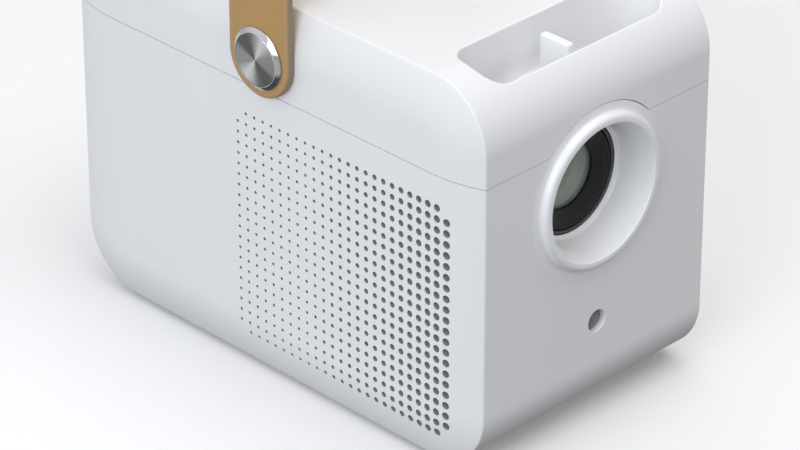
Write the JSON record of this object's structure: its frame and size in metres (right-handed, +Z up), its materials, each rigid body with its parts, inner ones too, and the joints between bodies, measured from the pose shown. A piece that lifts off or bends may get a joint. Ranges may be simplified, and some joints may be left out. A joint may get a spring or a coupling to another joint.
{
  "type": "home projector",
  "caption": "Compact white box-shaped home video projector with a recessed lens, perforated sides, a focus lever in a top well and a leather carrying strap.",
  "frame": {"origin": "on the table plane, under the middle of the projector's box, lens ring included", "axes": "+X out of the lens, +Y to the projector's left seen from behind it, +Z up"},
  "size_m": [0.2036, 0.1284, 0.1995],
  "materials": {
    "white_case": "fine satin moulded ABS, cool white",
    "rear_panel": "fine satin moulded ABS, a little greyer than the case",
    "foot_rubber": "matt",
    "zinc_steel": "zinc plated",
    "stud_steel": "spun brushed face, polished bevel",
    "strap_leather": "tan vegetable leather with a fine grain and painted edges",
    "black_plastic": "matt black",
    "lens_glass": "coated, green reflection",
    "acrylic": "clear, fine rings",
    "lcd_glass": "dark display glass",
    "copper": "bare copper base of the LED",
    "sink_aluminium": "extruded, satin",
    "ribbon_film": "amber film cable",
    "circuit_board": "green solder mask",
    "port_steel": "nickel plated shell",
    "speaker_black": "paper cone and steel basket, black",
    "infrared_plastic": "dark violet infra-red window",
    "light_guide": "clear light guide"
  },
  "bodies": {
    "housing": {"lower_housing": "white_case", "lens_ring": "white_case", "top_cover": "white_case", "focus_well": "white_case", "rear_panel": "rear_panel", "foot_1": "foot_rubber", "foot_2": "foot_rubber", "foot_3": "foot_rubber", "foot_4": "foot_rubber", "case_screw_1": "zinc_steel", "case_screw_2": "zinc_steel", "case_screw_3": "zinc_steel", "case_screw_4": "zinc_steel", "strap_stud_left": "stud_steel", "strap_stud_right": "stud_steel", "stud_nut_left": "zinc_steel", "stud_nut_right": "zinc_steel", "lens_sleeve": "black_plastic", "light_box_front": "black_plastic", "light_box_rear": "black_plastic", "panel_frame": "black_plastic", "fresnel_rear": "acrylic", "lcd_panel": "lcd_glass", "fresnel_front": "acrylic", "panel_ribbon": "ribbon_film", "condenser_lens": "lens_glass", "led_module": "copper", "heat_sink": "sink_aluminium", "exhaust_fan_frame": "black_plastic", "panel_fan_frame": "black_plastic", "main_board": "circuit_board", "power_board": "circuit_board", "keypad_board": "circuit_board", "hdmi_port": "port_steel", "usb_port_left": "port_steel", "usb_port_right": "port_steel", "av_jack": "black_plastic", "audio_jack": "black_plastic", "mains_inlet": "black_plastic", "speaker_left": "speaker_black", "speaker_right": "speaker_black", "infrared_window": "infrared_plastic", "infrared_board": "circuit_board", "status_light": "light_guide"},
    "strap": {"strap": "strap_leather"},
    "focus_ring": {"focus_ring": "white_case"},
    "lens_cell": {"lens_cell": "black_plastic", "lens_retainer": "black_plastic", "front_lens": "lens_glass", "rear_lens": "lens_glass"},
    "exhaust_fan": {"exhaust_fan_wheel": "black_plastic"},
    "panel_fan": {"panel_fan_wheel": "black_plastic"},
    "power_button": {"power_button": "white_case"},
    "menu_button": {"menu_button": "white_case"},
    "back_button": {"back_button": "white_case"},
    "ok_button": {"ok_button": "white_case"},
    "up_button": {"up_button": "white_case"},
    "down_button": {"down_button": "white_case"},
    "left_button": {"left_button": "white_case"},
    "right_button": {"right_button": "white_case"}
  },
  "joints": [
    {"name": "strap_swing", "type": "hinge", "parent": "housing", "child": "strap", "pos_m": [-0.0014, 0, 0.1295], "axis": [0, 1, 0], "range_deg": [-43, 43]},
    {"name": "focus_turn", "type": "hinge", "parent": "housing", "child": "focus_ring", "pos_m": [0.074, 0, 0.0934], "axis": [1, 0, 0], "range_deg": [-38, 38]},
    {"name": "lens_focus_slide", "type": "slide", "parent": "housing", "child": "lens_cell", "axis": [1, 0, 0], "range_m": [-0.004, 0.004]},
    {"name": "exhaust_fan_spin", "type": "hinge", "parent": "housing", "child": "exhaust_fan", "pos_m": [-0.0849, 0, 0.08], "axis": [1, 0, 0], "continuous": true},
    {"name": "panel_fan_spin", "type": "hinge", "parent": "housing", "child": "panel_fan", "pos_m": [0.0106, 0, 0.0517], "axis": [0, 0, 1], "continuous": true},
    {"name": "power_press", "type": "slide", "parent": "housing", "child": "power_button", "axis": [0, 0, -1], "range_m": [0, 0.0008], "stiffness_N_per_m": 1500, "springref_m": -0.0002},
    {"name": "menu_press", "type": "slide", "parent": "housing", "child": "menu_button", "axis": [0, 0, -1], "range_m": [0, 0.0008], "stiffness_N_per_m": 1500, "springref_m": -0.0002},
    {"name": "back_press", "type": "slide", "parent": "housing", "child": "back_button", "axis": [0, 0, -1], "range_m": [0, 0.0008], "stiffness_N_per_m": 1500, "springref_m": -0.0002},
    {"name": "ok_press", "type": "slide", "parent": "housing", "child": "ok_button", "axis": [0, 0, -1], "range_m": [0, 0.0008], "stiffness_N_per_m": 1500, "springref_m": -0.0002},
    {"name": "up_press", "type": "slide", "parent": "housing", "child": "up_button", "axis": [0, 0, -1], "range_m": [0, 0.0008], "stiffness_N_per_m": 1500, "springref_m": -0.0002},
    {"name": "down_press", "type": "slide", "parent": "housing", "child": "down_button", "axis": [0, 0, -1], "range_m": [0, 0.0008], "stiffness_N_per_m": 1500, "springref_m": -0.0002},
    {"name": "left_press", "type": "slide", "parent": "housing", "child": "left_button", "axis": [0, 0, -1], "range_m": [0, 0.0008], "stiffness_N_per_m": 1500, "springref_m": -0.0002},
    {"name": "right_press", "type": "slide", "parent": "housing", "child": "right_button", "axis": [0, 0, -1], "range_m": [0, 0.0008], "stiffness_N_per_m": 1500, "springref_m": -0.0002}
  ],
  "couplings": [
    {"joint": "lens_focus_slide", "follows": "focus_turn", "m_per_rad": 0.0060281}
  ]
}
